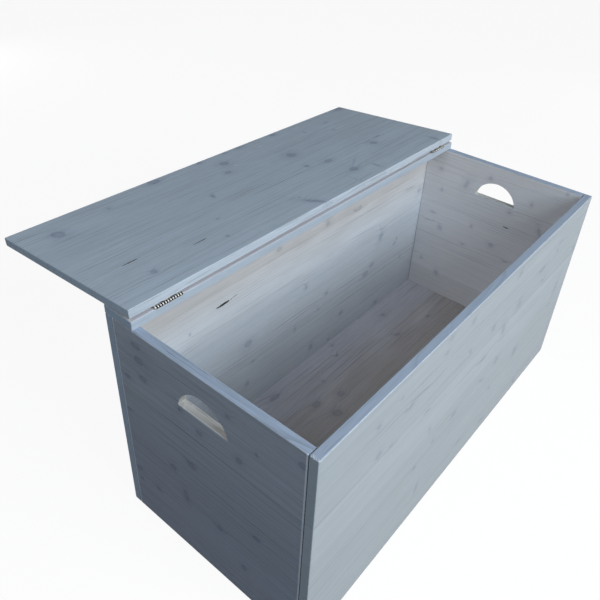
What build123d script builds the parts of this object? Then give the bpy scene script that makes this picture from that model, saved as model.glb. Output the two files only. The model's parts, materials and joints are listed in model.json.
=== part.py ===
"""Storage chest of spruce panels with a lid hinged to a fixed rear rail.

Millimetres, +Z up, +X along the chest, +Y towards its back. The origin lies on the floor,
in the middle of the back panel's lower edge. The lid is modelled open, lying upside down
on the rail.
"""

import os
from math import asin, atan2, degrees, hypot

from build123d import *

# Chest walls
chest_length = 1070.0
chest_depth = 470.0
wall_height = 502.0
wall_thickness = 18.0
edge_radius = 2.0

# Lid and hinge rail
lid_thickness = 18.0
lid_setback = 3.0
lid_front_radius = 4.0
lid_clearance = 0.3
rail_depth = 74.0
hinge_gap = 3.0
rest_clearance = 0.4

# Hand holes in the side panels
handle_width = 116.0
handle_height = 49.0
handle_drop = 48.0
handle_edge_radius = 1.5

# Floor panel and the cleats that carry it
floor_thickness = 18.0
floor_height = 22.0
floor_play = 0.5
floor_edge = 0.5
cleat_width = 20.0
cleat_height = 20.0
cleat_play = 0.5
cleat_edge = 1.0

# Glued beech dowels
dowel_radius = 4.0
dowel_length = 35.0
dowel_depth_in_face = 12.0
dowel_edge = 1.0
dowel_fit = 0.05
dowel_end_play = 0.5
corner_dowel_count = 6
corner_dowel_end = 50.0
rail_dowel_count = 7
rail_dowel_end = 55.0

# Butt hinges
hinge_length = 60.0
hinge_end_distance = 48.0
leaf_width = 17.0
leaf_thickness = 1.5
leaf_corner_radius = 1.5
knuckle_count = 5
knuckle_play = 0.3
notch_play = 0.5
pin_radius = 1.4
pin_play = 0.05
pin_edge = 0.3
pin_forward = 0.5

# Countersunk hinge screws
hinge_screw_length = 15.0
hinge_screw_radius = 1.5
hinge_screw_head_radius = 2.8
hinge_screw_count = 3
hinge_screw_end = 10.0
hinge_screw_offset = 10.5

# Countersunk cleat screws
cleat_screw_length = 30.0
cleat_screw_radius = 1.75
cleat_screw_head_radius = 3.5
cleat_screw_end = 60.0
long_cleat_screw_count = 5
short_cleat_screw_count = 3

# Shape that all the screws share
screw_fit = 0.05
screw_end_play = 0.5
screw_tip_length = 3.0
screw_tip_radius = 0.3
recess_width = 0.8
recess_share = 0.55
countersink_angle = 90.0

# Places of the walls
half_length = chest_length / 2
inner_half_length = half_length - wall_thickness
side_wall_x = half_length - wall_thickness / 2
back_y = wall_thickness / 2
inner_back_y = back_y - wall_thickness
front_y = back_y - chest_depth
inner_front_y = front_y + wall_thickness
inner_depth = inner_back_y - inner_front_y
middle_y = (inner_back_y + inner_front_y) / 2

# The rail is as thick as the lid and the clearance that the closed lid keeps over the rim
rail_thickness = lid_thickness + lid_clearance
rail_top = wall_height + rail_thickness
rail_front_y = back_y - rail_depth

# Pin line of the hinges, above the rail's front edge
bore_radius = pin_radius + pin_play
barrel_radius = bore_radius + leaf_thickness
pin_y = rail_front_y - pin_forward
pin_z = rail_top + barrel_radius
hinge_x = half_length - hinge_end_distance - hinge_length / 2

# Reach of the lid from the pin line
lid_depth = chest_depth - rail_depth - hinge_gap - lid_setback
lid_back_reach = hinge_gap - pin_forward
lid_front_reach = lid_back_reach + lid_depth

# The open lid leans on the rounded rear edge of the rail, a little past half a turn
edge_run = back_y - edge_radius - pin_y
edge_fall = barrel_radius + edge_radius
edge_distance = hypot(edge_run, edge_fall)
edge_angle = atan2(edge_fall, edge_run)
lid_lean = edge_angle - asin((edge_radius + rest_clearance - barrel_radius) / edge_distance)
open_angle = 180 + degrees(lid_lean)

# Frames of the two leaves of a hinge, on the pin line: X along the pin, Y out along the
# leaf, Z out of the outer face of the board that carries it
rail_frame = Plane(origin=(0, pin_y, pin_z), x_dir=(1, 0, 0), z_dir=(0, 0, 1))
closed_lid_frame = Plane(origin=(0, pin_y, pin_z), x_dir=(-1, 0, 0), z_dir=(0, 0, 1))
lid_frame = closed_lid_frame.rotated((-open_angle, 0, 0))


def spread(count, half_span):
    """Evenly spaced places from -half_span to half_span."""
    return [half_span * (2 * i / (count - 1) - 1) for i in range(count)]


def between(places):
    """The places halfway between neighbours."""
    return [(a + b) / 2 for a, b in zip(places, places[1:])]


def write(piece, label):
    """Names a finished piece and writes its file."""
    piece.part.label = label
    export_step(piece.part, f"parts/{label}.step")


def block(*spans):
    """A rectangular block, in the part being built, between two limits along each axis."""
    with Locations(Vector(*[sum(span) / 2 for span in spans])):
        Box(*[high - low for low, high in spans])


def make_screw(length, radius, head_radius):
    """A countersunk screw with a cross recess, its head's face at the origin, point down."""
    head_height = head_radius - radius
    with BuildPart() as screw:
        with BuildSketch(Plane.XZ):
            with BuildLine():
                Polyline(
                    (0, 0),
                    (head_radius, 0),
                    (radius, -head_height),
                    (radius, screw_tip_length - length),
                    (screw_tip_radius, -length),
                    (0, -length),
                    close=True,
                )
            make_face()
        revolve(axis=Axis.Z)
        with BuildSketch(Plane.XY):
            Rectangle(2 * recess_share * head_radius, recess_width)
            Rectangle(recess_width, 2 * recess_share * head_radius)
        extrude(amount=-head_height, mode=Mode.SUBTRACT)
    return screw.part


def cut_screw_holes(places, length, radius, head_radius):
    """Cuts the room of screws, in the part being built, with their heads' faces at places."""
    with Locations(*places):
        CounterSinkHole(
            radius=radius + screw_fit,
            counter_sink_radius=head_radius + screw_fit,
            depth=length + screw_end_play,
            counter_sink_angle=countersink_angle,
        )


def cut_dowel_holes(joints, depth):
    """Cuts dowel holes, in the part being built, from each joint against its Z axis."""
    with Locations(*joints):
        Hole(radius=dowel_radius + dowel_fit, depth=depth + dowel_end_play)


def cut_face_holes(joints):
    """Dowel holes in the board whose face meets the joint."""
    cut_dowel_holes(joints, dowel_depth_in_face)


def cut_edge_holes(joints):
    """Dowel holes in the board whose edge or end meets the joint."""
    cut_dowel_holes([-joint for joint in joints], dowel_length - dowel_depth_in_face)


# Joints: planes on the meeting faces, with Z into the board whose edge or end meets there
corner_heights = [
    wall_height / 2 + rise
    for rise in spread(corner_dowel_count, wall_height / 2 - corner_dowel_end)
]
corner_joints = {
    (side, end): [
        Plane(origin=(sign * side_wall_x, joint_y, z), z_dir=(0, inward, 0))
        for z in corner_heights
    ]
    for side, sign in (("left", -1), ("right", 1))
    for end, joint_y, inward in (("front", inner_front_y, 1), ("back", inner_back_y, -1))
}
back_rail_joints = [
    Plane(origin=(x, 0, wall_height), z_dir=(0, 0, -1))
    for x in spread(rail_dowel_count, half_length - rail_dowel_end)
]
side_rail_joints = {
    side: Plane(
        origin=(sign * side_wall_x, (rail_front_y + inner_back_y) / 2, wall_height),
        z_dir=(0, 0, -1),
    )
    for side, sign in (("left", -1), ("right", 1))
}

# Screws through the cleats into the walls, and up into the floor panel
cleat_bottom = floor_height - cleat_height
cleat_middle_z = floor_height - cleat_height / 2
long_cleat_half = inner_half_length - cleat_play
short_cleat_half = inner_depth / 2 - cleat_width - cleat_play
long_screw_xs = spread(long_cleat_screw_count, long_cleat_half - cleat_screw_end)
short_screw_ys = [
    middle_y + y for y in spread(short_cleat_screw_count, short_cleat_half - cleat_screw_end)
]
wall_screw_places = {
    "front": [
        Plane(origin=(x, inner_front_y + cleat_width, cleat_middle_z), z_dir=(0, 1, 0))
        for x in long_screw_xs
    ],
    "back": [
        Plane(origin=(x, inner_back_y - cleat_width, cleat_middle_z), z_dir=(0, -1, 0))
        for x in long_screw_xs
    ],
    "left": [
        Plane(origin=(cleat_width - inner_half_length, y, cleat_middle_z), z_dir=(1, 0, 0))
        for y in short_screw_ys
    ],
    "right": [
        Plane(origin=(inner_half_length - cleat_width, y, cleat_middle_z), z_dir=(-1, 0, 0))
        for y in short_screw_ys
    ],
}
cleat_middles = {
    "front": inner_front_y + cleat_width / 2,
    "back": inner_back_y - cleat_width / 2,
    "left": cleat_width / 2 - inner_half_length,
    "right": inner_half_length - cleat_width / 2,
}
floor_screw_places = {
    **{
        end: [
            Plane(origin=(x, cleat_middles[end], cleat_bottom), z_dir=(0, 0, -1))
            for x in between(long_screw_xs)
        ]
        for end in ("front", "back")
    },
    **{
        side: [
            Plane(origin=(cleat_middles[side], y, cleat_bottom), z_dir=(0, 0, -1))
            for y in between(short_screw_ys)
        ]
        for side in ("left", "right")
    },
}
cleat_screw_size = (cleat_screw_length, cleat_screw_radius, cleat_screw_head_radius)


def leaf_frame(board_frame, x):
    """The frame of a hinge leaf whose middle lies at x on the pin line."""
    return Plane(origin=(x, pin_y, pin_z), x_dir=board_frame.x_dir, z_dir=board_frame.z_dir)


def hinge_screw_places(board_frame, x):
    """Places of the screw heads on the outer face of a hinge leaf."""
    outer_face = leaf_frame(board_frame, x).offset(leaf_thickness - barrel_radius)
    return [
        Plane(
            origin=outer_face.from_local_coords((dx, hinge_screw_offset, 0)),
            z_dir=outer_face.z_dir,
        )
        for dx in spread(hinge_screw_count, hinge_length / 2 - hinge_screw_end)
    ]


hinge_screw_size = (hinge_screw_length, hinge_screw_radius, hinge_screw_head_radius)
hinge_xs = {"left": -hinge_x, "right": hinge_x}

os.makedirs("parts", exist_ok=True)

# Front panel
with BuildPart() as front_panel:
    block((-half_length, half_length), (front_y, inner_front_y), (0, wall_height))
    fillet(front_panel.edges(), radius=edge_radius)
    cut_face_holes(corner_joints["left", "front"] + corner_joints["right", "front"])
    cut_screw_holes(wall_screw_places["front"], *cleat_screw_size)
write(front_panel, "front_panel")

# Back panel
with BuildPart() as back_panel:
    block((-half_length, half_length), (inner_back_y, back_y), (0, wall_height))
    fillet(back_panel.edges(), radius=edge_radius)
    cut_face_holes(corner_joints["left", "back"] + corner_joints["right", "back"])
    cut_edge_holes(back_rail_joints)
    cut_screw_holes(wall_screw_places["back"], *cleat_screw_size)
write(back_panel, "back_panel")

# Side panels, each with a hand hole: an arch over a flat bottom
handle_half = handle_width / 2
handle_bottom_z = wall_height - handle_drop - handle_height
for side, sign in (("left", -1), ("right", 1)):
    with BuildPart() as side_panel:
        block(
            sorted((sign * inner_half_length, sign * half_length)),
            (inner_front_y, inner_back_y),
            (0, wall_height),
        )
        fillet(side_panel.edges(), radius=edge_radius)
        hand_hole = Plane(
            origin=(sign * side_wall_x, middle_y, handle_bottom_z),
            x_dir=(0, 1, 0),
            z_dir=(1, 0, 0),
        )
        with BuildSketch(hand_hole):
            with BuildLine():
                Line((-handle_half, 0), (handle_half, 0))
                ThreePointArc((handle_half, 0), (0, handle_height), (-handle_half, 0))
            make_face()
        extrude(amount=wall_thickness, both=True, mode=Mode.SUBTRACT)
        rims = side_panel.edges(Select.LAST).group_by(Axis.X)
        fillet(rims[0] + rims[-1], radius=handle_edge_radius)
        cut_edge_holes(corner_joints[side, "front"] + corner_joints[side, "back"])
        cut_edge_holes([side_rail_joints[side]])
        cut_screw_holes(wall_screw_places[side], *cleat_screw_size)
    write(side_panel, f"{side}_side_panel")

# Floor panel
with BuildPart() as floor_panel:
    block(
        (floor_play - inner_half_length, inner_half_length - floor_play),
        (inner_front_y + floor_play, inner_back_y - floor_play),
        (floor_height, floor_height + floor_thickness),
    )
    chamfer(floor_panel.edges(), length=floor_edge)
    for places in floor_screw_places.values():
        cut_screw_holes(places, *cleat_screw_size)
write(floor_panel, "floor_panel")

# Floor cleats: the long ones run from side to side, the short ones between them
for end, middle in cleat_middles.items():
    across = (middle - cleat_width / 2, middle + cleat_width / 2)
    with BuildPart() as cleat:
        if end in ("front", "back"):
            block((-long_cleat_half, long_cleat_half), across, (cleat_bottom, floor_height))
        else:
            along = (middle_y - short_cleat_half, middle_y + short_cleat_half)
            block(across, along, (cleat_bottom, floor_height))
        chamfer(cleat.edges(), length=cleat_edge)
        cut_screw_holes(wall_screw_places[end], *cleat_screw_size)
        cut_screw_holes(floor_screw_places[end], *cleat_screw_size)
    write(cleat, f"{end}_floor_cleat")

# Cleat screws
cleat_screw = make_screw(*cleat_screw_size)
for label, places in (
    ("cleat_wall_screws", wall_screw_places),
    ("cleat_floor_screws", floor_screw_places),
):
    with BuildPart() as screws:
        with Locations(*[place for group in places.values() for place in group]):
            add(cleat_screw)
    write(screws, label)

# Hinge rail
with BuildPart() as hinge_rail:
    block((-half_length, half_length), (rail_front_y, back_y), (wall_height, rail_top))
    fillet(hinge_rail.edges(), radius=edge_radius)
    cut_face_holes(back_rail_joints + list(side_rail_joints.values()))
    for x in hinge_xs.values():
        cut_screw_holes(hinge_screw_places(rail_frame, x), *hinge_screw_size)
write(hinge_rail, "hinge_rail")

# Lid panel: its section has a fuller rounding along the outer front edge
lid_section = Plane(origin=lid_frame.origin, x_dir=lid_frame.y_dir, z_dir=lid_frame.x_dir)
with BuildPart() as lid_panel:
    with BuildSketch(lid_section) as lid_profile:
        with Locations((lid_back_reach + lid_depth / 2, -barrel_radius - lid_thickness / 2)):
            Rectangle(lid_depth, lid_thickness)
        front_corners = lid_profile.vertices().group_by(Axis.X)[-1].sort_by(Axis.Y)
        fillet(front_corners[-1], radius=lid_front_radius)
        back_corners = lid_profile.vertices().group_by(Axis.X)[0]
        front_corners = lid_profile.vertices().group_by(Axis.X)[-1].sort_by(Axis.Y)
        fillet(back_corners + front_corners[:1], radius=edge_radius)
    extrude(amount=half_length, both=True)
    lid_ends = lid_panel.faces().filter_by(Axis.X)
    fillet(lid_ends.edges(), radius=edge_radius)
    for x in hinge_xs.values():
        cut_screw_holes(hinge_screw_places(lid_frame, x), *hinge_screw_size)
write(lid_panel, "lid_panel")

# Dowels
dowel_groups = {
    f"{end}_{side}_dowels": corner_joints[side, end]
    for end in ("front", "back")
    for side in ("left", "right")
}
dowel_groups["rail_dowels"] = back_rail_joints + list(side_rail_joints.values())
for label, joints in dowel_groups.items():
    with BuildPart() as dowels:
        with Locations(*[joint.offset(-dowel_depth_in_face) for joint in joints]):
            Cylinder(
                radius=dowel_radius,
                height=dowel_length,
                align=(Align.CENTER, Align.CENTER, Align.MIN),
            )
        chamfer(dowels.edges().filter_by(GeomType.CIRCLE), length=dowel_edge)
    write(dowels, label)

# Butt hinges: the lid's leaf has the first, third and last knuckles, the rail's the others
pitch = hinge_length / knuckle_count
leaf_length = hinge_length - knuckle_play
hinge_screw = make_screw(*hinge_screw_size)
for side, x in hinge_xs.items():
    for board, board_frame, first_knuckle in (
        ("lid", lid_frame, 0),
        ("rail", rail_frame, 1),
    ):
        frame = leaf_frame(board_frame, x)
        section = Plane(origin=frame.origin, x_dir=frame.y_dir, z_dir=frame.x_dir)
        middles = [pitch * (i + 0.5) - hinge_length / 2 for i in range(knuckle_count)]
        own_middles = middles[first_knuckle::2]
        other_middles = middles[1 - first_knuckle :: 2]
        with BuildPart() as leaf:
            with BuildSketch(frame.offset(-barrel_radius)):
                with Locations((0, leaf_width / 2)):
                    Rectangle(leaf_length, leaf_width)
            extrude(amount=leaf_thickness)
            tips = leaf.edges().filter_by(Axis(frame.origin, frame.z_dir))
            tips = tips.group_by(Axis(frame.origin, frame.y_dir))[-1]
            fillet(tips, radius=leaf_corner_radius)
            for middle in other_middles:
                with BuildSketch(section.offset(middle)):
                    Rectangle(2 * (barrel_radius + notch_play), 2 * barrel_radius)
                extrude(amount=(pitch + knuckle_play) / 2, both=True, mode=Mode.SUBTRACT)
            for middle in own_middles:
                with BuildSketch(section.offset(middle)):
                    Circle(barrel_radius)
                extrude(amount=(pitch - knuckle_play) / 2, both=True)
            with BuildSketch(section):
                Circle(bore_radius)
            extrude(amount=hinge_length, both=True, mode=Mode.SUBTRACT)
            screw_places = hinge_screw_places(board_frame, x)
            cut_screw_holes(screw_places, *hinge_screw_size)
        write(leaf, f"{side}_hinge_{board}_leaf")

        with BuildPart() as screws:
            with Locations(*screw_places):
                add(hinge_screw)
        write(screws, f"{side}_hinge_{board}_screws")

    with BuildPart() as pin:
        with BuildSketch(Plane.YZ.offset(x)):
            with Locations((pin_y, pin_z)):
                Circle(pin_radius)
        extrude(amount=leaf_length / 2, both=True)
        chamfer(pin.edges().filter_by(GeomType.CIRCLE), length=pin_edge)
    write(pin, f"{side}_hinge_pin")

print("pin line at y", round(pin_y, 3), "z", round(pin_z, 3))
print("the lid opens by", round(open_angle, 4), "degrees")
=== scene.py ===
"""Dresses the storage chest: stained spruce boards, steel hinges and screws, on a white floor.

The chest stands with its lid open, as it comes. Places are in metres in the chest's own frame
and colours are linear, but the marks in the wood are listed in millimetres on their board.
"""

import json
import math
import random

import bpy
from mathutils import Euler, Matrix, Vector

MM = 0.001

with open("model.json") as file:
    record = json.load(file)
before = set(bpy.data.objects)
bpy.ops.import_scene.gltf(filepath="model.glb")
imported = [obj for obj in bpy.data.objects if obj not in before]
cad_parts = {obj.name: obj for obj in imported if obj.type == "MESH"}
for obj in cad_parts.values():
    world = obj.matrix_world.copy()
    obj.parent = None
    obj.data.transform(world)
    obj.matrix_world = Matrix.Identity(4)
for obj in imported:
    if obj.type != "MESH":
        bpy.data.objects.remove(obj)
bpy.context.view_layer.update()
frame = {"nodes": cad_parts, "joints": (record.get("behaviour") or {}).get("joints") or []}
nodes = frame["nodes"]

X = Vector((1, 0, 0))
Y = Vector((0, 1, 0))
Z = Vector((0, 0, 1))

# The hinge line, and the direction in which the open lid lies away from it
lid_joint = frame["joints"][0]
pin_line = Vector(lid_joint["pos_m"])
lid_lean = math.radians(lid_joint["range_deg"][1]) - math.pi
lid_away = Vector((0, math.cos(lid_lean), -math.sin(lid_lean)))


# Node building

# Places of the share and the colours among the sockets of Blender's Mix node
MIX_SHARE = 0
MIX_FROM = 6
MIX_TO = 7
MIX_RESULT = 2


class Tree:
    """A material's node tree, with short ways to add nodes to it.

    What goes into a node is a plain value or the output of another node.
    """

    def __init__(self, material):
        self.nodes = material.node_tree.nodes
        self.links = material.node_tree.links

    def feed(self, socket, value):
        """Sets an input to a number, vector or colour, or links it to another node's output."""
        if isinstance(value, bpy.types.NodeSocket):
            self.links.new(value, socket)
        elif socket.type == "RGBA":
            socket.default_value = (*value, 1)
        else:
            socket.default_value = value

    def add(self, kind, inputs=None, **settings):
        """A new node with its settings made and its inputs fed."""
        node = self.nodes.new(kind)
        for name, value in settings.items():
            setattr(node, name, value)
        for name, value in (inputs or {}).items():
            self.feed(node.inputs[name], value)
        return node

    def math(self, operation, *values):
        node = self.add("ShaderNodeMath", operation=operation)
        for socket, value in zip(node.inputs, values):
            self.feed(socket, value)
        return node.outputs[0]

    def vector(self, operation, *values):
        node = self.add("ShaderNodeVectorMath", operation=operation)
        for socket, value in zip(node.inputs, values):
            self.feed(socket, value)
        return node.outputs[0]

    def length(self, vector):
        node = self.add("ShaderNodeVectorMath", {0: vector}, operation="LENGTH")
        return node.outputs["Value"]

    def scaled(self, vector, share):
        node = self.add("ShaderNodeVectorMath", {0: vector, "Scale": share}, operation="SCALE")
        return node.outputs[0]

    def split(self, vector):
        return self.add("ShaderNodeSeparateXYZ", {0: vector}).outputs

    def join(self, x, y, z):
        return self.add("ShaderNodeCombineXYZ", {0: x, 1: y, 2: z}).outputs[0]

    def placed(self, vector, rotation, location=(0, 0, 0)):
        """The vector turned and then moved."""
        inputs = {"Vector": vector, "Rotation": rotation, "Location": location}
        return self.add("ShaderNodeMapping", inputs).outputs[0]

    def noise(self, vector, scale=1.0, detail=2.0, roughness=0.5):
        inputs = {"Vector": vector, "Scale": scale, "Detail": detail, "Roughness": roughness}
        return self.add("ShaderNodeTexNoise", inputs).outputs[0]

    def centred(self, value):
        """A value from 0 to 1, moved to lie about 0."""
        return self.math("SUBTRACT", value, 0.5)

    def remap(self, value, low, high, to_low=0.0, to_high=1.0):
        """A smooth step from to_low at low to to_high at high."""
        inputs = {0: value, 1: low, 2: high, 3: to_low, 4: to_high}
        return self.add("ShaderNodeMapRange", inputs, interpolation_type="SMOOTHSTEP").outputs[0]

    def mix(self, share, start, end):
        """The start colour, going over to the end colour with share."""
        node = self.add("ShaderNodeMix", data_type="RGBA")
        for socket, value in ((MIX_SHARE, share), (MIX_FROM, start), (MIX_TO, end)):
            self.feed(node.inputs[socket], value)
        return node.outputs[MIX_RESULT]

    def tinted(self, share, colour, tint):
        """The colour, going over to itself times the tint with share."""
        return self.mix(share, colour, self.vector("MULTIPLY", colour, tint))

    def toned(self, colour, tone):
        """The colour made lighter or darker by one number."""
        return self.vector("MULTIPLY", colour, self.join(tone, tone, tone))

    def ramp(self, value, stops, interpolation):
        """Colour stops along a value from 0 to 1."""
        node = self.add("ShaderNodeValToRGB", {0: value})
        elements = node.color_ramp.elements
        node.color_ramp.interpolation = interpolation
        for _ in range(len(stops) - 2):
            elements.new(0.5)
        for element, (place, colour) in zip(elements, stops):
            element.position = place
            element.color = (*colour, 1)
        return node.outputs[0]


def new_material(name):
    """A material and its Principled shader."""
    material = bpy.data.materials.new(name)
    material.use_nodes = True
    return material, material.node_tree.nodes["Principled BSDF"]


def dress(node, material):
    """Gives a CAD node its material."""
    nodes[node].data.materials.clear()
    nodes[node].data.materials.append(material)


# Colours of the wood

FRONT_STAIN = (0.43, 0.485, 0.53)
# Bluer than the face: painted reflection of the sky on the top edge
FRONT_EDGE_STAIN_AND_PAINTED_SKY = (0.40, 0.47, 0.58)
BACK_STAIN = (0.42, 0.50, 0.60)
SIDE_STAIN = (0.345, 0.41, 0.51)
# Bluer and lighter than the face: painted reflection of the sky on the top edges
SIDE_EDGE_STAIN_AND_PAINTED_SKY = (0.40, 0.48, 0.60)
# The left side's stain turns lighter towards the top: partly the stain's own change, partly painted
# light from above
LEFT_LOW_STAIN = (0.305, 0.37, 0.485)
LEFT_HIGH_STAIN_AND_PAINTED_LIGHT = (0.41, 0.485, 0.58)
LID_STAIN = (0.49, 0.565, 0.645)
RAIL_STAIN = (0.43, 0.51, 0.595)
RAIL_WASH = (0.66, 0.62, 0.64)
WALL_WASH = (0.74, 0.755, 0.78)
THIN_WALL_WASH = (0.55, 0.54, 0.53)
SIDE_WASH = (0.88, 0.87, 0.88)
FLOOR_WASH = (0.77, 0.76, 0.82)
# Painted shade: the floor's wash turns darker and warmer towards the front, where the front wall
# casts shade
FLOOR_WASH_IN_PAINTED_SHADE = (0.54, 0.495, 0.47)
BARE_WOOD = (0.72, 0.64, 0.53)
HOLE_WOOD = (0.76, 0.74, 0.70)
END_TINT = (0.95, 1.04, 1.12)
# Lighter arrises: partly the stain rubbed through, partly a painted highlight along the arrises
WORN_AND_HIGHLIT_WOOD = (0.62, 0.66, 0.72)
KNOT_TINT = (0.46, 0.48, 0.57)
HALO_TINT = (0.74, 0.74, 0.80)
STREAK_TINT = (0.72, 0.71, 0.78)
FLECK = (0.72, 0.76, 0.80)
RESIN = (0.035, 0.030, 0.028)
JOINT_SHADE = (0.05, 0.05, 0.06)
# Painted highlight along the rounded arris at the butted ends
END_HIGHLIGHT = (0.72, 0.81, 0.94)


class Figure:
    """Noise that runs along the grain, by its cycles a metre along and across it."""

    def __init__(self, along, across, detail, roughness):
        self.stretch = (along, across, across)
        self.detail = detail
        self.roughness = roughness


WANDER = Figure(7.0, 26.0, detail=1.0, roughness=0.5)
LINES = Figure(3.5, 520.0, detail=2.0, roughness=0.55)
BANDS = Figure(2.2, 130.0, detail=3.0, roughness=0.6)
FIBRES = Figure(28.0, 1300.0, detail=3.0, roughness=0.65)
BLOTCHES = Figure(6.0, 16.0, detail=4.0, roughness=0.5)

# Finer noise that is the same in every direction, by its cycles a metre
OUTLINE_SCALE = 260.0
WEAR_AND_HIGHLIGHT_SCALE = 180.0
CHIP_SCALE = 190.0

# How much lighter, or below 0 darker, each part of the figure makes the wood
STAVE_SHARE = 0.08
FIBRE_SHARE = 0.30
LINE_SHARE = -0.22
BAND_SHARE = 0.12
BLOTCH_SHARE = 0.12
RING_SHARE = -0.14
SEAM_SHARE = -0.12

# Values of the noise between which dark lines and chips set in
LINE_NOISE = (0.56, 0.72)
CHIP_NOISE = (0.48, 0.58)

# Year rings: where their hearts lie, how they stray, and where late wood starts and peaks
RING_PITCH = 3.2 * MM
HEART_SHIFT = 90 * MM
HEART_DEPTH = 12 * MM
HEART_SPREAD = 60 * MM
RING_DRIFT = 0.06
RING_WANDER = 10 * MM
LATE_WOOD_START = 0.35
LATE_WOOD_PEAK = 0.88

# The share of years whose late wood is faint, and how strongly it shows
PLAIN_YEARS = 0.45
PLAIN_YEAR_STRENGTH = 0.25

# Staves, and how far the grain and the coats stray from straight
SEAM_HALF_WIDTH = 0.45 * MM
STAVE_FIGURE_SHIFT = 5.0
GRAIN_WANDER = 7 * MM
KNOT_BULGE = 8 * MM
COAT_WANDER = 120 * MM

# Distances over which marks fade, where 1 is the mark's outline, and how strongly they show
OUTLINE_ROUGHNESS = 0.7
BULGE_FADE = (0.4, 3.6)
HALO_FADE = (0.7, 3.2)
HALO_STRENGTH = 0.55
CORE_FADE = (0.5, 1.2)
CORE_STRENGTH = 0.5
RIM_DISTANCE = 0.85
RIM_FADE = (0.05, 0.4)
RIM_STRENGTH = 0.4
STREAK_FADE = (0.1, 1.15)
STREAK_STRENGTH = 0.8
FLECK_FADE = (0.5, 1.1)
FLECK_STRENGTH = 0.6
RESIN_FADE = (0.7, 1.1)
RESIN_ROUGHNESS = 1.5

# How squarely a surface faces a direction, between not counting as that side and counting
NARROW_SIDE = (0.6, 0.9)
WASHED_SIDE = (0.85, 0.98)
BUTTED_SIDE = (0.2, 0.6)
STAINED_SIDE = (0.35, 0.75)

# Rubbed arrises with painted highlights, painted highlight lines at the ends, joints and chips:
# distances from the board's edges, and strengths
WORN_AND_HIGHLIGHT_FADE = (1.0 * MM, 2.4 * MM)
WORN_AND_HIGHLIGHT_ROUGHNESS = 1.6 * MM
END_HIGHLIGHT_PLACE = 2.4 * MM
END_HIGHLIGHT_FADE = (1.2 * MM, 2.1 * MM)
END_HIGHLIGHT_STRENGTH = 0.95
JOINT_FADE = (0.7 * MM, 1.5 * MM)
JOINT_ROUGHNESS = 1.2 * MM
JOINT_STRENGTH = 0.9
CHIP_SPACING = 2.2 * MM
CHIP_FADE = (0.25 * CHIP_SPACING, 0.5 * CHIP_SPACING)
CHIP_ROUGHNESS = 6 * MM
CHIPPED_END = (3.5 * MM, 6 * MM)
CHIPPED_TOP = (1.5 * MM, 3 * MM)

# Roughness and relief of the wood
WOOD_SPECULAR = 0.2
WOOD_ROUGHNESS = 0.62
LATE_WOOD_ROUGHNESS = -0.10
BLOTCH_ROUGHNESS = 0.12
FIBRE_RELIEF = 0.05 * MM
RING_RELIEF = 0.05 * MM
SEAM_RELIEF = -0.15 * MM


class Board:
    """Where a board lies, how its staves run and what marks its wood carries.

    Along and across are the directions of its length and width. The seed decides its staves,
    whose glue lines are listed from the lower or hinge edge. Marks are (along from the middle,
    across from that edge, half length, half width, faintness, turn in degrees). Both are in
    millimetres, and the marks were measured on the side that shows.

    The inner side, +1 or -1 along the board's depth, carries the wash, the narrow sides the
    edge stain where there is one, bluer as a painted reflection of the sky on the top edges,
    and every other side the stain. The stain change and the thinner wash are the two places
    across the board between which the stain and the wash change, and what to. On the left
    side the stain turns lighter towards the top, partly its own change and partly painted light
    from above; on the floor the wash turns darker and warmer towards the front, painted shade
    from the front wall.

    Figure is how strongly the grain shows, and knottiness how strongly the knots do. Hole is
    the half length, lower edge and upper edge of a box round a hand hole that was cut after
    the staining. Butted ends meet another board and carry a painted highlight line and a dark
    joint, chipped is for splinters torn from the upper left corner, and the arris rubbing is
    how far the arrises are rubbed through, lightened partly as a painted highlight.
    """

    def __init__(self, name, along, across, seed, staves, stain, wash=None, inner=0, figure=1.0,
                 knots=(), streaks=(), resin=(), flecks=(), edge_stain_and_painted_sky=None, stain_change_and_painted_light=None,
                 thin_wash_and_painted_shade=None, hole=None, butted=False, chipped=False, arris_wear_and_highlight=0.5, knottiness=0.7):
        self.name = name
        self.axes = Matrix((along, across, along.cross(across)))
        corners = [self.axes @ vertex.co for vertex in nodes[name].data.vertices]
        low = Vector([min(corner[i] for corner in corners) for i in range(3)])
        high = Vector([max(corner[i] for corner in corners) for i in range(3)])
        self.middle = (low + high) / 2
        self.half = (high - low) / 2
        self.seed = seed
        self.staves = staves
        self.stain = stain
        self.wash = wash
        self.inner = inner
        self.figure = figure
        self.knots = knots
        self.streaks = streaks
        self.resin = resin
        self.flecks = flecks
        self.edge_stain_and_painted_sky = edge_stain_and_painted_sky
        self.stain_change_and_painted_light = stain_change_and_painted_light
        self.thin_wash_and_painted_shade = thin_wash_and_painted_shade
        self.hole = hole
        self.butted = butted
        self.chipped = chipped
        self.arris_wear_and_highlight = arris_wear_and_highlight
        self.knottiness = knottiness

    def from_edge(self, place):
        """A place in millimetres from the lower or hinge edge, in metres from the middle."""
        return place * MM - self.half[1]


def stave_stops(board):
    """Ramp stops over the board's width: each stave's shade, ring centre and heart depth."""
    chance = random.Random(board.seed)
    width = 2 * board.half[1]
    starts = [0.0] + [edge * MM / width for edge in board.staves]
    return [(start, (chance.random(), chance.random(), chance.random())) for start in starts]


def seam_stops(board):
    """Ramp stops over the board's width that peak at each glue line."""
    width = 2 * board.half[1]
    reach = SEAM_HALF_WIDTH / width
    off = (0, 0, 0)
    stops = [(0.0, off)]
    for edge in board.staves:
        place = edge * MM / width
        stops += [(place - reach, off), (place, (1, 1, 1)), (place + reach, off)]
    return stops + [(1.0, off)]


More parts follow.
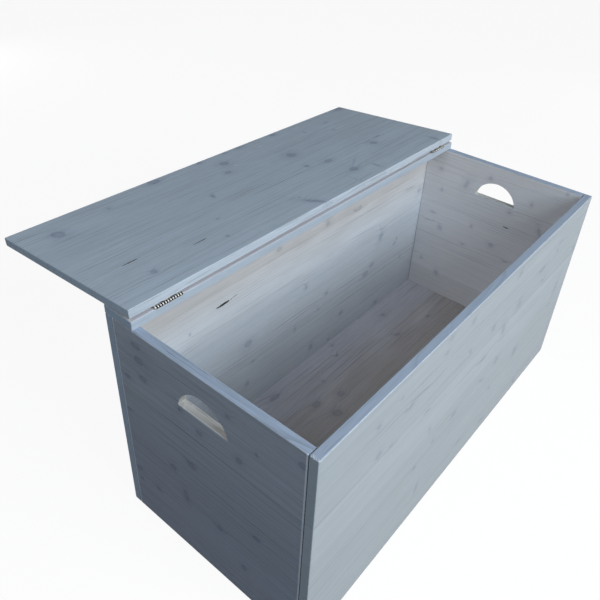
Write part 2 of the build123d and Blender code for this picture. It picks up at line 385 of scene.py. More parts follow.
class WoodTree(Tree):
    """The tree of one board's wood, with places and distances in the board's own directions."""

    def __init__(self, material, board):
        super().__init__(material)
        self.board = board
        source = self.add("ShaderNodeTexCoord").outputs
        turn = board.axes.to_euler()
        self.place = self.placed(source["Object"], turn, -board.middle)
        self.along, self.across, self.depth = self.split(self.place)
        self.flat_place = self.join(self.along, self.across, 0.0)
        facing = self.placed(source["Normal"], turn)
        self.facing_end, self.facing_edge, self.facing_out = self.split(facing)
        gaps = self.vector("SUBTRACT", tuple(board.half), self.vector("ABSOLUTE", self.place))
        self.gap_along, self.gap_across, self.gap_depth = self.split(gaps)
        self.read_staves()
        self.bend_grain()
        self.find_knots()
        self.late_wood = self.year_rings()
        self.fibre = self.centred(self.drawn_out(self.stave_place, FIBRES))
        self.blotch = self.centred(self.drawn_out(self.place, BLOTCHES))
        self.tone = self.light_and_dark()

    def drawn_out(self, place, figure):
        """Noise that is drawn out along the grain."""
        stretched = self.vector("MULTIPLY", place, figure.stretch)
        return self.noise(stretched, detail=figure.detail, roughness=figure.roughness)

    def read_staves(self):
        """The board is glued up from staves, each with its own shade and rings."""
        share = self.math("MULTIPLY_ADD", self.across, 0.5 / self.board.half[1], 0.5)
        chances = self.ramp(share, stave_stops(self.board), "CONSTANT")
        self.shade, self.ring_middle, self.heart = self.split(chances)
        self.seam = self.ramp(share, seam_stops(self.board), "LINEAR")
        shift = self.scaled(chances, STAVE_FIGURE_SHIFT)
        self.stave_place = self.vector("ADD", self.place, shift)

    def bend_grain(self):
        """The grain wanders from side to side."""
        self.wander = self.centred(self.drawn_out(self.stave_place, WANDER))
        self.bend = self.join(0.0, self.math("MULTIPLY", self.wander, GRAIN_WANDER), 0.0)
        self.bent_place = self.vector("ADD", self.flat_place, self.bend)

    def find_knots(self):
        """The grain bulges round the knots, and marks have rough outlines."""
        outline = self.centred(self.noise(self.place, OUTLINE_SCALE, detail=1.0))
        self.rough_edge = self.math("MULTIPLY", outline, OUTLINE_ROUGHNESS)
        self.knot_distance = None
        self.bulge = 0.0
        if self.board.knots:
            distance = self.nearest_mark(self.flat_place, self.board.knots)
            self.bulge = self.remap(distance, *BULGE_FADE, KNOT_BULGE, 0.0)
            self.knot_distance = self.math("ADD", distance, self.rough_edge)

    def nearest_mark(self, place, marks):
        """Distance to the nearest mark, where 1 is its outline; faint marks never come to 0."""
        nearest = None
        for turn in sorted({mark[-1] for mark in marks}):
            angle = math.radians(turn)
            turned = self.add(
                "ShaderNodeVectorRotate",
                {"Vector": place, "Angle": -angle},
                rotation_type="Z_AXIS",
            ).outputs[0]
            for mark in marks:
                if mark[-1] == turn:
                    distance = self.mark_distance(turned, angle, mark)
                    if nearest is not None:
                        distance = self.math("MINIMUM", nearest, distance)
                    nearest = distance
        return nearest

    def mark_distance(self, turned_place, angle, mark):
        """Distance to one mark, from a place that is turned to lie along it."""
        along, across, half_length, half_width, faintness, _ = mark
        middle = Vector((along * MM, self.board.from_edge(across), 0))
        middle.rotate(Euler((0, 0, -angle)))
        stretch = Vector((1 / half_length, 1 / half_width, 0)) / MM
        offset = (-middle.x * stretch.x, -middle.y * stretch.y, faintness)
        return self.length(self.vector("MULTIPLY_ADD", turned_place, tuple(stretch), offset))

    def year_rings(self):
        """Late wood of the rings about each stave's own heart, darker in some years."""
        across = self.math("MULTIPLY_ADD", self.ring_middle, HEART_SHIFT, self.across)
        across = self.math("ADD", across, self.bulge)
        drift = self.math("MULTIPLY", self.centred(self.heart), self.along)
        across = self.math("MULTIPLY_ADD", drift, RING_DRIFT, across)
        across = self.math("MULTIPLY_ADD", self.wander, RING_WANDER, across)
        depth = self.math("MULTIPLY_ADD", self.heart, HEART_SPREAD, self.depth)
        depth = self.math("ADD", depth, HEART_DEPTH)
        radius = self.length(self.join(across, depth, 0.0))
        count = self.math("DIVIDE", radius, RING_PITCH)
        phase = self.math("FRACT", count)
        rise = self.remap(phase, LATE_WOOD_START, LATE_WOOD_PEAK)
        fall = self.remap(phase, LATE_WOOD_PEAK, 1.0, 1.0, 0.0)
        number = self.math("FLOOR", count)
        year = self.add("ShaderNodeTexWhiteNoise", {"W": number}, noise_dimensions="1D").outputs[0]
        strength = self.remap(year, PLAIN_YEARS, 1.0, PLAIN_YEAR_STRENGTH, 1.0)
        return self.math("MULTIPLY", self.math("MULTIPLY", rise, fall), strength)

    def light_and_dark(self):
        """Tone over the board, about 1."""
        line_place = self.vector("ADD", self.stave_place, self.bend)
        line_place = self.vector("ADD", line_place, self.join(0.0, self.bulge, 0.0))
        line = self.remap(self.drawn_out(line_place, LINES), *LINE_NOISE)
        band = self.centred(self.drawn_out(self.stave_place, BANDS))
        tone = self.math("MULTIPLY_ADD", self.centred(self.shade), STAVE_SHARE, 1.0)
        shares = (
            (self.fibre, FIBRE_SHARE),
            (line, LINE_SHARE),
            (band, BAND_SHARE),
            (self.blotch, BLOTCH_SHARE),
            (self.late_wood, RING_SHARE),
            (self.seam, SEAM_SHARE),
        )
        for part, share in shares:
            tone = self.math("MULTIPLY_ADD", part, share * self.board.figure, tone)
        return tone

    def coated(self):
        """The stain, bluer on the narrow sides as a painted reflection of the sky on the top edges,
        the wash on the side that faces into the chest, and the thirsty ends.
        """
        board = self.board
        # On the left side the stain turns lighter towards the top: partly its own change, partly
        # painted light from above
        colour = self.across_board(board.stain, board.stain_change_and_painted_light)
        if board.edge_stain_and_painted_sky:
            # The narrow sides get a bluer stain, a painted reflection of the sky on the top edges
            narrow = self.remap(self.math("ABSOLUTE", self.facing_edge), *NARROW_SIDE)
            colour = self.mix(narrow, colour, board.edge_stain_and_painted_sky)
        if board.wash:
            inward = self.math("MULTIPLY", self.facing_out, float(board.inner))
            # On the floor this change of the wash is painted shade from the front wall; on the back
            # wall it is a thinner wash
            wash = self.across_board(board.wash, board.thin_wash_and_painted_shade)
            colour = self.mix(self.remap(inward, *WASHED_SIDE), colour, wash)
        colour = self.toned(colour, self.tone)
        ends = self.remap(self.math("ABSOLUTE", self.facing_end), *NARROW_SIDE)
        return self.tinted(ends, colour, END_TINT)

    def across_board(self, colour, change):
        """A coat's colour, which goes over to another one towards one side of some boards; it holds
        painted light on the left side and painted shade on the floor.
        """
        if not change:
            return colour
        start, end, end_colour = change
        uneven = self.math("MULTIPLY_ADD", self.wander, COAT_WANDER, self.across)
        share = self.remap(uneven, self.board.from_edge(start), self.board.from_edge(end))
        return self.mix(share, colour, end_colour)

    def marked(self, colour):
        """Knots, dark streaks, pale flecks and resin pockets."""
        board = self.board
        if board.knots:
            colour = self.knotted(colour)
        if board.streaks:
            distance = self.nearest_mark(self.bent_place, board.streaks)
            streak = self.remap(distance, *STREAK_FADE, STREAK_STRENGTH, 0.0)
            colour = self.tinted(streak, colour, STREAK_TINT)
        if board.flecks:
            distance = self.nearest_mark(self.bent_place, board.flecks)
            distance = self.math("ADD", distance, self.rough_edge)
            colour = self.mix(self.remap(distance, *FLECK_FADE, FLECK_STRENGTH, 0.0), colour, FLECK)
        if board.resin:
            distance = self.nearest_mark(self.bent_place, board.resin)
            distance = self.math("MULTIPLY_ADD", self.rough_edge, RESIN_ROUGHNESS, distance)
            colour = self.mix(self.remap(distance, *RESIN_FADE, 1.0, 0.0), colour, RESIN)
        return colour

    def knotted(self, colour):
        """A wide halo round each knot, its dark core and a rim near its outline."""
        knottiness = self.board.knottiness
        halo = self.remap(self.knot_distance, *HALO_FADE, HALO_STRENGTH * knottiness, 0.0)
        colour = self.tinted(halo, colour, HALO_TINT)
        core = self.remap(self.knot_distance, *CORE_FADE, CORE_STRENGTH * knottiness, 0.0)
        from_rim = self.math("ABSOLUTE", self.math("SUBTRACT", self.knot_distance, RIM_DISTANCE))
        rim = self.remap(from_rim, *RIM_FADE, RIM_STRENGTH * knottiness, 0.0)
        return self.tinted(self.math("ADD", core, rim), colour, KNOT_TINT)

    def edged(self, colour):
        """Rubbed arrises with a painted highlight, the raw hand hole, a painted highlight line and
        dark joint at butted ends, and torn corners.
        """
        board = self.board
        # The arrises are partly rubbed through and partly lit by a painted highlight
        colour = self.mix(self.worn_and_highlit_arrises(), colour, WORN_AND_HIGHLIT_WOOD)
        if board.hole:
            colour = self.mix(self.in_hole(), colour, self.toned(HOLE_WOOD, self.tone))
        if board.butted:
            # A painted highlight line where the end's arris catches the light
            colour = self.mix(self.end_highlight(), colour, END_HIGHLIGHT)
            colour = self.mix(self.butt_joint(), colour, JOINT_SHADE)
        if board.chipped:
            colour = self.mix(self.chips(), colour, FLECK)
        return colour

    def worn_and_highlit_arrises(self):
        """How far the wood is rubbed through and lightened as a painted highlight, which is most
        where two sides meet.
        """
        nearer = self.math("MINIMUM", self.gap_along, self.gap_across)
        farther = self.math("MAXIMUM", self.gap_along, self.gap_across)
        arris_gap = self.math("MAXIMUM", nearer, self.math("MINIMUM", farther, self.gap_depth))
        ragged = self.noise(self.place, WEAR_AND_HIGHLIGHT_SCALE, detail=3.0)
        ragged = self.math("MULTIPLY", ragged, WORN_AND_HIGHLIGHT_ROUGHNESS)
        return self.remap(self.math("ADD", arris_gap, ragged), *WORN_AND_HIGHLIGHT_FADE, self.board.arris_wear_and_highlight, 0.0)

    def in_hole(self):
        """1 on the cut faces of the hand hole."""
        half_length, low, high = (size * MM for size in self.board.hole)
        middle = (low + high) / 2 - self.board.half[1]
        beside = self.math("ABSOLUTE", self.along)
        beyond = self.math("ABSOLUTE", self.math("SUBTRACT", self.across, middle))
        within = self.math(
            "MULTIPLY",
            self.math("LESS_THAN", beside, half_length),
            self.math("LESS_THAN", beyond, (high - low) / 2),
        )
        cut = self.remap(self.math("ABSOLUTE", self.facing_out), *STAINED_SIDE, 1.0, 0.0)
        return self.math("MULTIPLY", cut, within)

    def end_highlight(self):
        """A painted highlight: a pale line along the ends on the outer side, where the rounded
        arris catches the light.
        """
        outward = self.math("MULTIPLY", self.facing_out, -float(self.board.inner))
        from_highlight = self.math("SUBTRACT", self.gap_along, END_HIGHLIGHT_PLACE)
        from_highlight = self.math("ABSOLUTE", from_highlight)
        line = self.remap(from_highlight, *END_HIGHLIGHT_FADE, END_HIGHLIGHT_STRENGTH, 0.0)
        return self.math("MULTIPLY", line, self.remap(outward, *BUTTED_SIDE))

    def butt_joint(self):
        """The dark seam where the board's ends meet another board."""
        gap = self.math("MULTIPLY_ADD", self.rough_edge, JOINT_ROUGHNESS, self.gap_along)
        return self.remap(gap, *JOINT_FADE, JOINT_STRENGTH, 0.0)

    def chips(self):
        """Splinters torn out along the top of the board's left end."""
        from_end = self.math("ADD", self.along, self.board.half[0])
        from_top = self.math("SUBTRACT", self.board.half[1], self.across)
        strokes = self.math("PINGPONG", self.math("ADD", self.depth, from_end), CHIP_SPACING)
        strokes = self.remap(strokes, *CHIP_FADE, 1.0, 0.0)
        broken = self.remap(self.noise(self.place, CHIP_SCALE), *CHIP_NOISE)
        strokes = self.math("MULTIPLY", strokes, broken)
        reach = self.math("MULTIPLY_ADD", self.rough_edge, CHIP_ROUGHNESS, from_end)
        near_end = self.remap(reach, *CHIPPED_END, 1.0, 0.0)
        near_top = self.remap(from_top, *CHIPPED_TOP, 1.0, 0.0)
        return self.math("MULTIPLY", strokes, self.math("MULTIPLY", near_end, near_top))


def wood_material(board):
    """Whitewashed or stained spruce for one board."""
    material, shader = new_material(f"{board.name}_wood")
    tree = WoodTree(material, board)
    tree.feed(shader.inputs["Base Color"], tree.edged(tree.marked(tree.coated())))
    tree.feed(shader.inputs["Specular IOR Level"], WOOD_SPECULAR)
    roughness = tree.math("MULTIPLY_ADD", tree.late_wood, LATE_WOOD_ROUGHNESS, WOOD_ROUGHNESS)
    roughness = tree.math("MULTIPLY_ADD", tree.blotch, BLOTCH_ROUGHNESS, roughness)
    tree.feed(shader.inputs["Roughness"], roughness)
    height = tree.math("MULTIPLY", tree.fibre, FIBRE_RELIEF)
    height = tree.math("MULTIPLY_ADD", tree.late_wood, RING_RELIEF, height)
    height = tree.math("MULTIPLY_ADD", tree.seam, SEAM_RELIEF, height)
    bump = tree.add("ShaderNodeBump", {"Height": height, "Strength": 1.0, "Distance": 1.0})
    tree.feed(shader.inputs["Normal"], bump.outputs[0])
    return material


# Marks in the wood of each board

LID_KNOTS = (
    (-463, 319, 12, 15, 0.2, 20), (-184, 377, 14, 10, 0, 0), (-5, 331, 14, 13, 0.55, 30),
    (-37, 284, 9, 7, 0.2, 0), (-42, 382, 9, 6, 0.55, 0), (43, 382, 7, 6, 0.75, 0),
    (91, 381, 12, 8, 0.85, 0), (221, 378, 9, 7, 0.4, 0), (515, 380, 16, 10, 0.2, 0),
    (141, 241, 17, 15, 0.65, 40), (-152, 213, 4, 9, 0.45, -20), (109, 163, 7, 8, 0.55, 0),
    (-220, 127, 4, 3, 0.2, 0), (168, 144, 13, 8, 0.3, 0), (343, 129, 10, 12, 0.4, 20),
    (389, 149, 12, 2.5, 0.2, 0), (-433, 62, 6, 6, 0, 0), (-259, 57, 4, 4, 0.4, 0),
    (-37, 62, 3, 2, 0.4, 0), (167, 64, 12, 11, 0.3, 20), (358, 275, 4, 3, 0.4, 0),
    (391, 329, 12, 2.5, 0.55, 0), (291, 322, 3, 4, 0.55, 0), (-332, 340, 7, 5, 0.85, 0),
    (-31, 25, 29, 7, 0.55, -60), (221, 36, 3, 14, 0.45, -4), (473, 23, 4, 15, 0.2, -4),
    (121, 25, 1.5, 14, 0.85, 0),
)
LID_STREAKS = (
    (-505, 353, 42, 3, 0, -2), (-455, 287, 82, 6, 0.45, 0), (-255, 157, 68, 2, 0.4, 0),
    (285, 294, 52, 3, 0.4, 0), (370, 90, 180, 9, 0.55, 3), (400, 68, 150, 5, 0.65, 4),
    (-5, 101, 110, 2, 0.4, 1), (205, 92, 45, 5, 0.45, 30), (-330, 107, 190, 2, 0.65, 0),
    (-400, 28, 160, 2, 0.65, 0), (-380, 18, 140, 2, 0.75, 0), (-300, 238, 240, 3, 0.85, 0),
    (330, 246, 200, 3, 0.65, 0), (-420, 372, 60, 2, 0.55, 0), (-120, 299, 90, 2, 0.65, 0),
)
LID_RESIN = ((-440, 121, 20, 1.7, 0, 0), (-307, 83, 20, 1.4, 0.3, 0))
LID_FLECKS = (
    (-450, 166, 49, 1.3, 0.1, 0), (135, 343, 14, 3, 0.55, 10), (468, 202, 5, 4, 0.55, 0),
    (6, 303, 9, 8, 0.75, 30),
)

BACK_KNOTS = (
    (-110, 442, 8, 5, 0.3, 0), (63, 435, 11, 10, 0.75, 0), (186, 423, 17, 3, 0.4, 0),
    (441, 393, 18, 2.5, 0.2, 0), (496, 365, 12, 9, 0.65, 0), (-372, 362, 2.5, 4, 0.4, 0),
    (-8, 285, 6, 6, 0.65, 0), (-209, 233, 13, 10, 0.45, 0), (78, 220, 8, 6, 0.55, 0),
    (256, 192, 14, 9, 0.4, 0), (283, 209, 10, 7, 0.3, 0), (315, 289, 9, 18, 0.65, -20),
    (396, 230, 7, 5, 0.55, 30), (405, 242, 3, 5, 0.4, 0), (-194, 171, 7, 4, 0.65, 0),
    (-44, 175, 4, 5, 0.55, 0), (-214, 113, 6, 6, 0, 0), (153, 114, 8, 7, 0.3, 20),
    (25, 72, 8, 8, 0, 0), (331, 51, 8, 7, 0.4, 0), (103, 49, 5, 4, 0.4, 0),
    (440, 164, 3, 5, 0.4, 0), (46, 187, 6, 4, 0.75, 0),
)
BACK_STREAKS = (
    (-220, 202, 110, 2.2, 0, -2), (-20, 210, 110, 2.2, 0, 2), (170, 204, 105, 2.2, 0.2, -2),
    (-95, 217, 90, 1.8, 0.55, 2), (-330, 335, 80, 2.5, 0.3, -1), (-77, 330, 70, 2, 0.45, 0),
    (76, 337, 28, 2, 0.4, 4), (230, 339, 82, 2.5, 0.2, -3), (405, 345, 50, 2, 0.55, 2),
    (-140, 402, 120, 1.6, 0.65, 2), (160, 402, 190, 1.8, 0.55, -1), (305, 325, 5, 30, 0.65, 30),
    (130, 150, 380, 3, 0.85, 0), (60, 92, 330, 2, 0.85, 0),
)
BACK_RESIN = ((-280, 386, 21, 3.0, 0, 3), (-250, 389, 14, 1.0, 0.6, 10))

FRONT_KNOTS = (
    (-78, 473, 8, 7, 0.3, 0), (-173, 457, 6, 5, 0.2, 0), (-318, 457, 4, 3, 0.4, 0),
    (-382, 442, 5, 6, 0.4, 0), (128, 474, 9, 6, 0.2, 0), (-166, 487, 8, 6, 0.75, 0),
    (-368, 364, 9, 8, 0.3, 0), (-330, 353, 12, 6, 0.85, 0), (-57, 382, 4, 9, 0.55, 30),
    (46, 379, 8, 11, 0.55, 20), (178, 369, 16, 12, 0.75, 0), (115, 335, 10, 24, 0.75, 20),
    (30, 305, 13, 5, 0.2, 0), (282, 409, 16, 8, 0.3, 0), (372, 442, 14, 3, 0.4, 0),
    (362, 422, 7, 5, 0.65, 0), (314, 362, 5, 3, 0.55, 0), (458, 269, 10, 22, 0.75, -10),
    (515, 359, 9, 8, 0.65, 0), (-175, 262, 4, 9, 0.75, 20), (-64, 215, 9, 7, 0.2, 0),
    (-146, 202, 5, 5, 0.4, 0), (-212, 183, 5, 7, 0, 30), (125, 237, 10, 9, 0.3, 0),
    (55, 225, 14, 4, 0.75, -30), (252, 182, 10, 13, 0.4, 0), (130, 147, 8, 4, 0.65, -40),
    (-180, 90, 5, 15, 0.45, -10), (8, 67, 12, 4, 0.45, 0), (135, 33, 14, 4, 0.45, -10),
    (445, 219, 8, 6, 0.75, 0), (522, 99, 10, 4, 0.4, 0), (332, 22, 8, 6, 0.65, 0),
    (-280, 408, 12, 5, 0.75, 20),
)
FRONT_STREAKS = (
    (-230, 443, 130, 1.8, 0.2, 0), (0, 441, 180, 1.8, 0, -1), (300, 443, 120, 1.6, 0.55, 1),
    (-400, 429, 95, 1.6, 0.3, -1), (-240, 415, 70, 4, 0.2, -10), (-185, 411, 45, 3, 0.4, 0),
    (190, 403, 74, 2, 0.45, 1), (235, 300, 195, 3, 0.55, 0), (300, 484, 200, 3, 0.55, -3),
    (380, 470, 150, 2, 0.55, -3), (-20, 245, 90, 3, 0.75, 0), (-60, 210, 120, 3, 0.75, -3),
    (170, 130, 260, 4, 0.85, 0), (60, 80, 230, 3, 0.85, 0), (-420, 468, 60, 2, 0.75, 4),
    (-420, 458, 70, 2, 0.75, -4),
)
FRONT_RESIN = ((-205, 338, 17, 1, 0.55, -2),)

LEFT_KNOTS = (
    (-158, 472, 12, 6, 0.1, 0), (-154, 442, 12, 8, 0, 0), (-149, 403, 11, 6, 0.1, 0),
    (-194, 381, 9, 6, 0.55, 0), (-10, 372, 8, 6, 0.3, 0), (82, 379, 7, 7, 0.2, 0),
    (-55, 395, 6, 5, 0.65, 0), (-37, 267, 12, 5, 0.1, -5), (-89, 221, 8, 7, 0.2, 0),
    (-59, 165, 6, 15, 0.1, 10), (-144, 110, 7, 6, 0.4, 0), (-200, 125, 10, 6, 0.4, 0),
    (-198, 95, 6, 5, 0.45, 0), (-205, 291, 8, 3, 0.3, 0), (208, 472, 8, 7, 0.1, 0),
    (120, 423, 4, 3, 0.4, 0), (60, 462, 8, 5, 0.75, 0), (-140, 442, 24, 18, 1.05, 0),
    (30, 150, 8, 7, 0.4, 0), (120, 210, 9, 6, 0.4, 0), (90, 90, 7, 8, 0.3, 0),
)
LEFT_STREAKS = (
    (20, 347, 170, 2.6, 0, 0), (120, 348, 90, 2, 0.2, 0), (-60, 295, 150, 4, 0.4, 0),
    (100, 293, 110, 3, 0.45, 0), (-90, 209, 130, 3, 0.2, 1), (-80, 190, 80, 2, 0.4, 3),
    (80, 208, 140, 3, 0.4, 0), (-150, 148, 70, 2.5, 0.45, 0), (-120, 128, 100, 2.5, 0.45, 1),
    (-140, 425, 70, 2, 0.55, -10), (150, 485, 40, 2, 0.65, 0), (-60, 448, 90, 2, 0.75, -4),
    (0, 385, 200, 2, 0.65, -1), (60, 130, 150, 2.5, 0.55, 0),
)

RIGHT_KNOTS = (
    (-22, 465, 6, 6, 0.45, 0), (-170, 444, 6, 5, 0.55, 0), (-157, 382, 5, 4, 0.45, 0),
    (-86, 425, 9, 18, 0.75, -20), (102, 433, 4, 6, 0.55, 0), (182, 492, 4, 3, 0.3, 0),
    (-47, 306, 4, 4, 0, 0), (-172, 304, 9, 3, 0.4, 0), (-142, 264, 6, 7, 0.2, 30),
    (21, 273, 8, 7, 0.4, 0), (-62, 241, 7, 4, 0.65, 0), (71, 241, 7, 4, 0.55, 0),
    (-126, 110, 6, 8, 0.1, 20), (50, 389, 6, 4, 0.65, 0), (140, 365, 5, 13, 0.45, 20),
    (-184, 275, 12, 2, 0.65, 0), (-184, 138, 7, 4, 0.75, 0),
)
RIGHT_STREAKS = (
    (-30, 341, 190, 1.6, 0.4, 0), (0, 334, 200, 1.6, 0.3, 0), (20, 326, 190, 1.6, 0.4, 0),
    (40, 319, 150, 1.4, 0.55, 0), (-40, 205, 180, 4, 0.55, 0), (-30, 244, 150, 2, 0.75, 0),
    (-110, 302, 100, 1.8, 0.55, -1), (-140, 276, 60, 1.6, 0.75, 1),
)
RIGHT_RESIN = ((50, 343, 11, 1.6, 0.4, -3),)

FLOOR_KNOTS = (
    (-150, 401, 15, 8, 0.2, 0), (76, 381, 5, 4, 0.45, 0), (308, 389, 7, 6, 0.3, 0),
    (-25, 347, 5, 4, 0, 0), (-99, 309, 12, 8, 0.1, 0), (-30, 286, 10, 9, 0.2, 0),
    (-87, 254, 13, 10, 0.1, -40), (261, 309, 10, 5, 0.2, -20), (396, 287, 8, 5, 0.4, 0),
    (100, 415, 5, 4, 0.4, 0), (246, 435, 6, 4, 0.2, 0), (-380, 300, 11, 9, 0.2, 0),
    (-300, 150, 9, 7, 0.2, 0), (180, 120, 10, 8, 0.2, 0), (380, 80, 7, 6, 0.2, 0),
)
FLOOR_STREAKS = (
    (265, 295, 115, 4, 0.4, 1), (300, 283, 90, 3, 0.4, -4), (115, 341, 100, 1.8, 0.4, 0),
    (-120, 352, 80, 1.8, 0.55, 10), (-160, 330, 70, 1.6, 0.55, 5), (-140, 282, 70, 3, 0.55, -10),
    (0, 365, 200, 1.6, 0.65, 0), (150, 250, 250, 3, 0.65, 0),
)


# Boards

HAND_HOLE = (60, 402, 458)
boards = [
    Board(
        "front_panel", X, Z, 11, (95, 155, 250, 349, 412), FRONT_STAIN, WALL_WASH, -1,
        knots=FRONT_KNOTS, streaks=FRONT_STREAKS, resin=FRONT_RESIN, knottiness=0.4,
        edge_stain_and_painted_sky=FRONT_EDGE_STAIN_AND_PAINTED_SKY, chipped=True, arris_wear_and_highlight=0.7,
    ),
    Board(
        "back_panel", X, Z, 12, (90, 149, 213, 289, 335, 420), BACK_STAIN, WALL_WASH, 1,
        knots=BACK_KNOTS, streaks=BACK_STREAKS, resin=BACK_RESIN, knottiness=0.55,
        thin_wash_and_painted_shade=(300, 500, THIN_WALL_WASH),
    ),
    Board(
        "left_side_panel", -Y, Z, 13, (80, 150, 209, 295, 347, 410), LEFT_LOW_STAIN, SIDE_WASH, -1,
        figure=2.2, knots=LEFT_KNOTS, streaks=LEFT_STREAKS, knottiness=0.8,
        # The left side's lighter top is partly the stain's own change, partly painted light from
        # above
        edge_stain_and_painted_sky=SIDE_EDGE_STAIN_AND_PAINTED_SKY, stain_change_and_painted_light=(60, 540, LEFT_HIGH_STAIN_AND_PAINTED_LIGHT), hole=HAND_HOLE, butted=True,
        arris_wear_and_highlight=0.7,
    ),
    Board(
        "right_side_panel", -Y, Z, 14, (109, 205, 250, 330, 400), SIDE_STAIN, SIDE_WASH, 1,
        figure=0.8, knots=RIGHT_KNOTS, streaks=RIGHT_STREAKS, resin=RIGHT_RESIN, knottiness=0.5,
        edge_stain_and_painted_sky=SIDE_EDGE_STAIN_AND_PAINTED_SKY, hole=HAND_HOLE, butted=True,
    ),
    Board(
        "floor_panel", X, Y, 15, (70, 160, 230, 330, 390), BARE_WOOD, FLOOR_WASH, 1,
        figure=1.6, knots=FLOOR_KNOTS, streaks=FLOOR_STREAKS, knottiness=0.6,
        # Painted shade towards the front wall
        thin_wash_and_painted_shade=(440, 225, FLOOR_WASH_IN_PAINTED_SHADE),
    ),
    Board("hinge_rail", X, Y, 16, (40,), RAIL_STAIN, RAIL_WASH, 1, arris_wear_and_highlight=0.0),
    Board(
        "lid_panel", X, lid_away, 17, (52, 102, 163, 252, 303), LID_STAIN,
        figure=1.6, knots=LID_KNOTS, streaks=LID_STREAKS, resin=LID_RESIN, flecks=LID_FLECKS,
        knottiness=0.75,
    ),
    Board("front_floor_cleat", X, Z, 21, (), BARE_WOOD),
    Board("back_floor_cleat", X, Z, 22, (), BARE_WOOD),
    Board("left_floor_cleat", -Y, Z, 23, (), BARE_WOOD),
    Board("right_floor_cleat", -Y, Z, 24, (), BARE_WOOD),
]
for board in boards:
    dress(board.name, wood_material(board))


# Steel and dowels

HINGE_STEEL = (0.66, 0.65, 0.62)
HINGE_ROUGHNESS = 0.30
SCREW_ZINC = (0.68, 0.68, 0.66)
SCREW_ROUGHNESS = 0.28
DRAWN_GRAIN = (220.0, 2600.0, 2600.0)
DRAWN_RELIEF = 0.02 * MM
DRAWN_ROUGHNESS = 0.2
CLOUD_SCALE = 320.0
CLOUD_SHARE = 0.3
CLOUD_DARKEST = 0.85
RIB_PITCH = 5.4 * MM
RIB_EDGE = (0.32, 0.46)
BARREL_REACH = 3.3 * MM
# Painted shade: the barrel's grooves are painted nearly black
GROOVE_SHADE = (0.01, 0.01, 0.01)
GROOVE_RELIEF = -0.2 * MM
BEECH = (0.52, 0.33, 0.17)
BEECH_FLECK = (0.36, 0.20, 0.09)
BEECH_GRAIN = (600.0, 900.0, 900.0)
BEECH_FLECK_NOISE = (0.45, 0.7)
BEECH_ROUGHNESS = 0.6


def grooves(tree, place):
    """1 in the grooves that run round a hinge's barrel, which are painted nearly black as painted
    shade.
    """
    x, y, z = tree.split(place)
    off_pin_y = tree.math("SUBTRACT", y, pin_line.y)
    off_pin_z = tree.math("SUBTRACT", z, pin_line.z)
    from_pin = tree.length(tree.join(0.0, off_pin_y, off_pin_z))
    on_barrel = tree.math("LESS_THAN", from_pin, BARREL_REACH)
    wave = tree.math("DIVIDE", tree.math("PINGPONG", x, RIB_PITCH / 2), RIB_PITCH / 2)
    return tree.math("MULTIPLY", on_barrel, tree.remap(wave, *RIB_EDGE))


def steel_material(name, colour, roughness, ribbed=False):
    """Zinc-plated steel with a fine drawn grain, and with ribs round its barrels for a hinge, their
    grooves painted dark as painted shade.
    """
    material, shader = new_material(name)
    tree = Tree(material)
    place = tree.add("ShaderNodeTexCoord").outputs["Object"]
    drawn = tree.noise(tree.vector("MULTIPLY", place, DRAWN_GRAIN))
    cloud = tree.noise(place, CLOUD_SCALE)
    tone = tree.math("MULTIPLY_ADD", cloud, CLOUD_SHARE, CLOUD_DARKEST)
    colour = tree.scaled(colour, tone)
    height = tree.math("MULTIPLY", drawn, DRAWN_RELIEF)
    if ribbed:
        groove = grooves(tree, place)
        # Painted shade in the grooves
        colour = tree.mix(groove, colour, GROOVE_SHADE)
        height = tree.math("MULTIPLY_ADD", groove, GROOVE_RELIEF, height)
    tree.feed(shader.inputs["Base Color"], colour)
    tree.feed(shader.inputs["Metallic"], 1.0)
    roughness = tree.math("MULTIPLY_ADD", drawn, DRAWN_ROUGHNESS, roughness)
    tree.feed(shader.inputs["Roughness"], roughness)
    bump = tree.add("ShaderNodeBump", {"Height": height, "Distance": 1.0})
    tree.feed(shader.inputs["Normal"], bump.outputs[0])
    return material


def beech_material():
    """Plain beech with short dark flecks, for the dowels."""
    material, shader = new_material("beech")
    tree = Tree(material)
    place = tree.add("ShaderNodeTexCoord").outputs["Object"]
    fleck = tree.noise(tree.vector("MULTIPLY", place, BEECH_GRAIN), detail=3.0)
    colour = tree.mix(tree.remap(fleck, *BEECH_FLECK_NOISE), BEECH, BEECH_FLECK)
    tree.feed(shader.inputs["Base Color"], colour)
    tree.feed(shader.inputs["Roughness"], BEECH_ROUGHNESS)
    return material


hinge_steel = steel_material("hinge_steel", HINGE_STEEL, HINGE_ROUGHNESS, ribbed=True)
zinc = steel_material("zinc_screw", SCREW_ZINC, SCREW_ROUGHNESS)
beech = beech_material()
for name in nodes:
    if name.endswith(("leaf", "pin")):
        dress(name, hinge_steel)
    elif name.endswith("screws"):
        dress(name, zinc)
    elif name.endswith("dowels"):
        dress(name, beech)


# Floor, background and lamps

WHITE = (1, 1, 1)
FLOOR_HALF = 12.0
FLOOR_COLOUR = (0.08, 0.08, 0.08)
FLOOR_GLOW = 0.93
SKY_COLOUR = (0.075, 0.08, 0.085)
CHEST_MIDDLE = Vector((0, -0.25, 0.4))

# Name, place, width, colour and radiance of each lamp
LAMPS = (
    ("low_key", (0.2, -3.7, 1.3), 1.4, (1.0, 0.82, 0.64), 7.8),
    ("window", (-0.3, -3.1, 2.4), 1.8, (0.73, 0.87, 1.0), 9.5),
    ("left_fill", (-1.5, -0.3, 1.6), 0.8, (0.92, 0.95, 1.0), 2.6),
    ("rear_fill", (0.3, 3.6, 0.25), 0.5, (0.97, 0.98, 1.0), 32.0),
    ("right_fill", (3.6, -0.7, 0.25), 0.5, (0.97, 0.98, 1.0), 24.0),
)


def seen_share(tree):
    """1 for what the camera sees, also in gloss or through glass, and else 0."""
    path = tree.add("ShaderNodeLightPath").outputs
    seen = tree.math("MAXIMUM", path["Is Camera Ray"], path["Is Glossy Ray"])
    return tree.math("MAXIMUM", seen, path["Is Transmission Ray"])


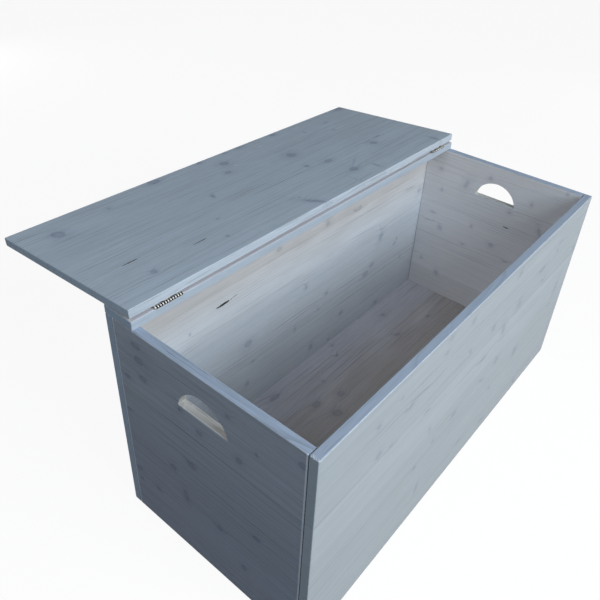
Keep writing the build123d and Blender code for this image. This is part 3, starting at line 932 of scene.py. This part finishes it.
def white_floor():
    """A white floor that still takes the chest's shadow."""
    half = FLOOR_HALF
    mesh = bpy.data.meshes.new("studio_floor")
    corners = [(-half, -half, 0), (half, -half, 0), (half, half, 0), (-half, half, 0)]
    mesh.from_pydata(corners, [], [(0, 1, 2, 3)])
    floor = bpy.data.objects.new("studio_floor", mesh)
    bpy.context.scene.collection.objects.link(floor)
    material, shader = new_material("studio_floor")
    tree = Tree(material)
    tree.feed(shader.inputs["Base Color"], FLOOR_COLOUR)
    tree.feed(shader.inputs["Roughness"], 1.0)
    tree.feed(shader.inputs["Specular IOR Level"], 0.0)
    tree.feed(shader.inputs["Emission Color"], WHITE)
    glow = tree.math("MULTIPLY", seen_share(tree), FLOOR_GLOW)
    tree.feed(shader.inputs["Emission Strength"], glow)
    mesh.materials.append(material)


def sky():
    """Dim bluish light from all round, on a background that shows white."""
    world = bpy.data.worlds.new("studio_sky")
    bpy.context.scene.world = world
    world.use_nodes = True
    tree = Tree(world)
    shader = world.node_tree.nodes["Background"]
    tree.feed(shader.inputs["Color"], tree.mix(seen_share(tree), SKY_COLOUR, WHITE))
    tree.feed(shader.inputs["Strength"], 1.0)


def soft_lamp(name, place, width, colour, radiance):
    """A square softbox that faces the middle of the chest."""
    data = bpy.data.lights.new(name, "AREA")
    data.shape = "SQUARE"
    data.size = width
    data.color = colour
    data.energy = radiance * math.pi * width * width
    lamp = bpy.data.objects.new(name, data)
    bpy.context.scene.collection.objects.link(lamp)
    lamp.location = place
    lamp.rotation_euler = (CHEST_MIDDLE - Vector(place)).to_track_quat("-Z", "Y").to_euler()


white_floor()
sky()
for lamp in LAMPS:
    soft_lamp(*lamp)


# Camera at the photograph's viewpoint

camera_place = (-0.9865, -0.7758, 1.1870)
camera_turn = (55.972, -3.319, -51.122)
camera_lens = 37.83
camera_sensor = 36.0
camera_shift = (-0.0341, -0.0563)

camera_data = bpy.data.cameras.new("camera")
camera_data.lens = camera_lens
camera_data.sensor_width = camera_sensor
camera_data.shift_x, camera_data.shift_y = camera_shift
camera = bpy.data.objects.new("camera", camera_data)
camera.location = camera_place
camera.rotation_euler = Euler([math.radians(angle) for angle in camera_turn])
bpy.context.scene.collection.objects.link(camera)
bpy.context.scene.camera = camera
bpy.context.scene.view_settings.view_transform = "Standard"
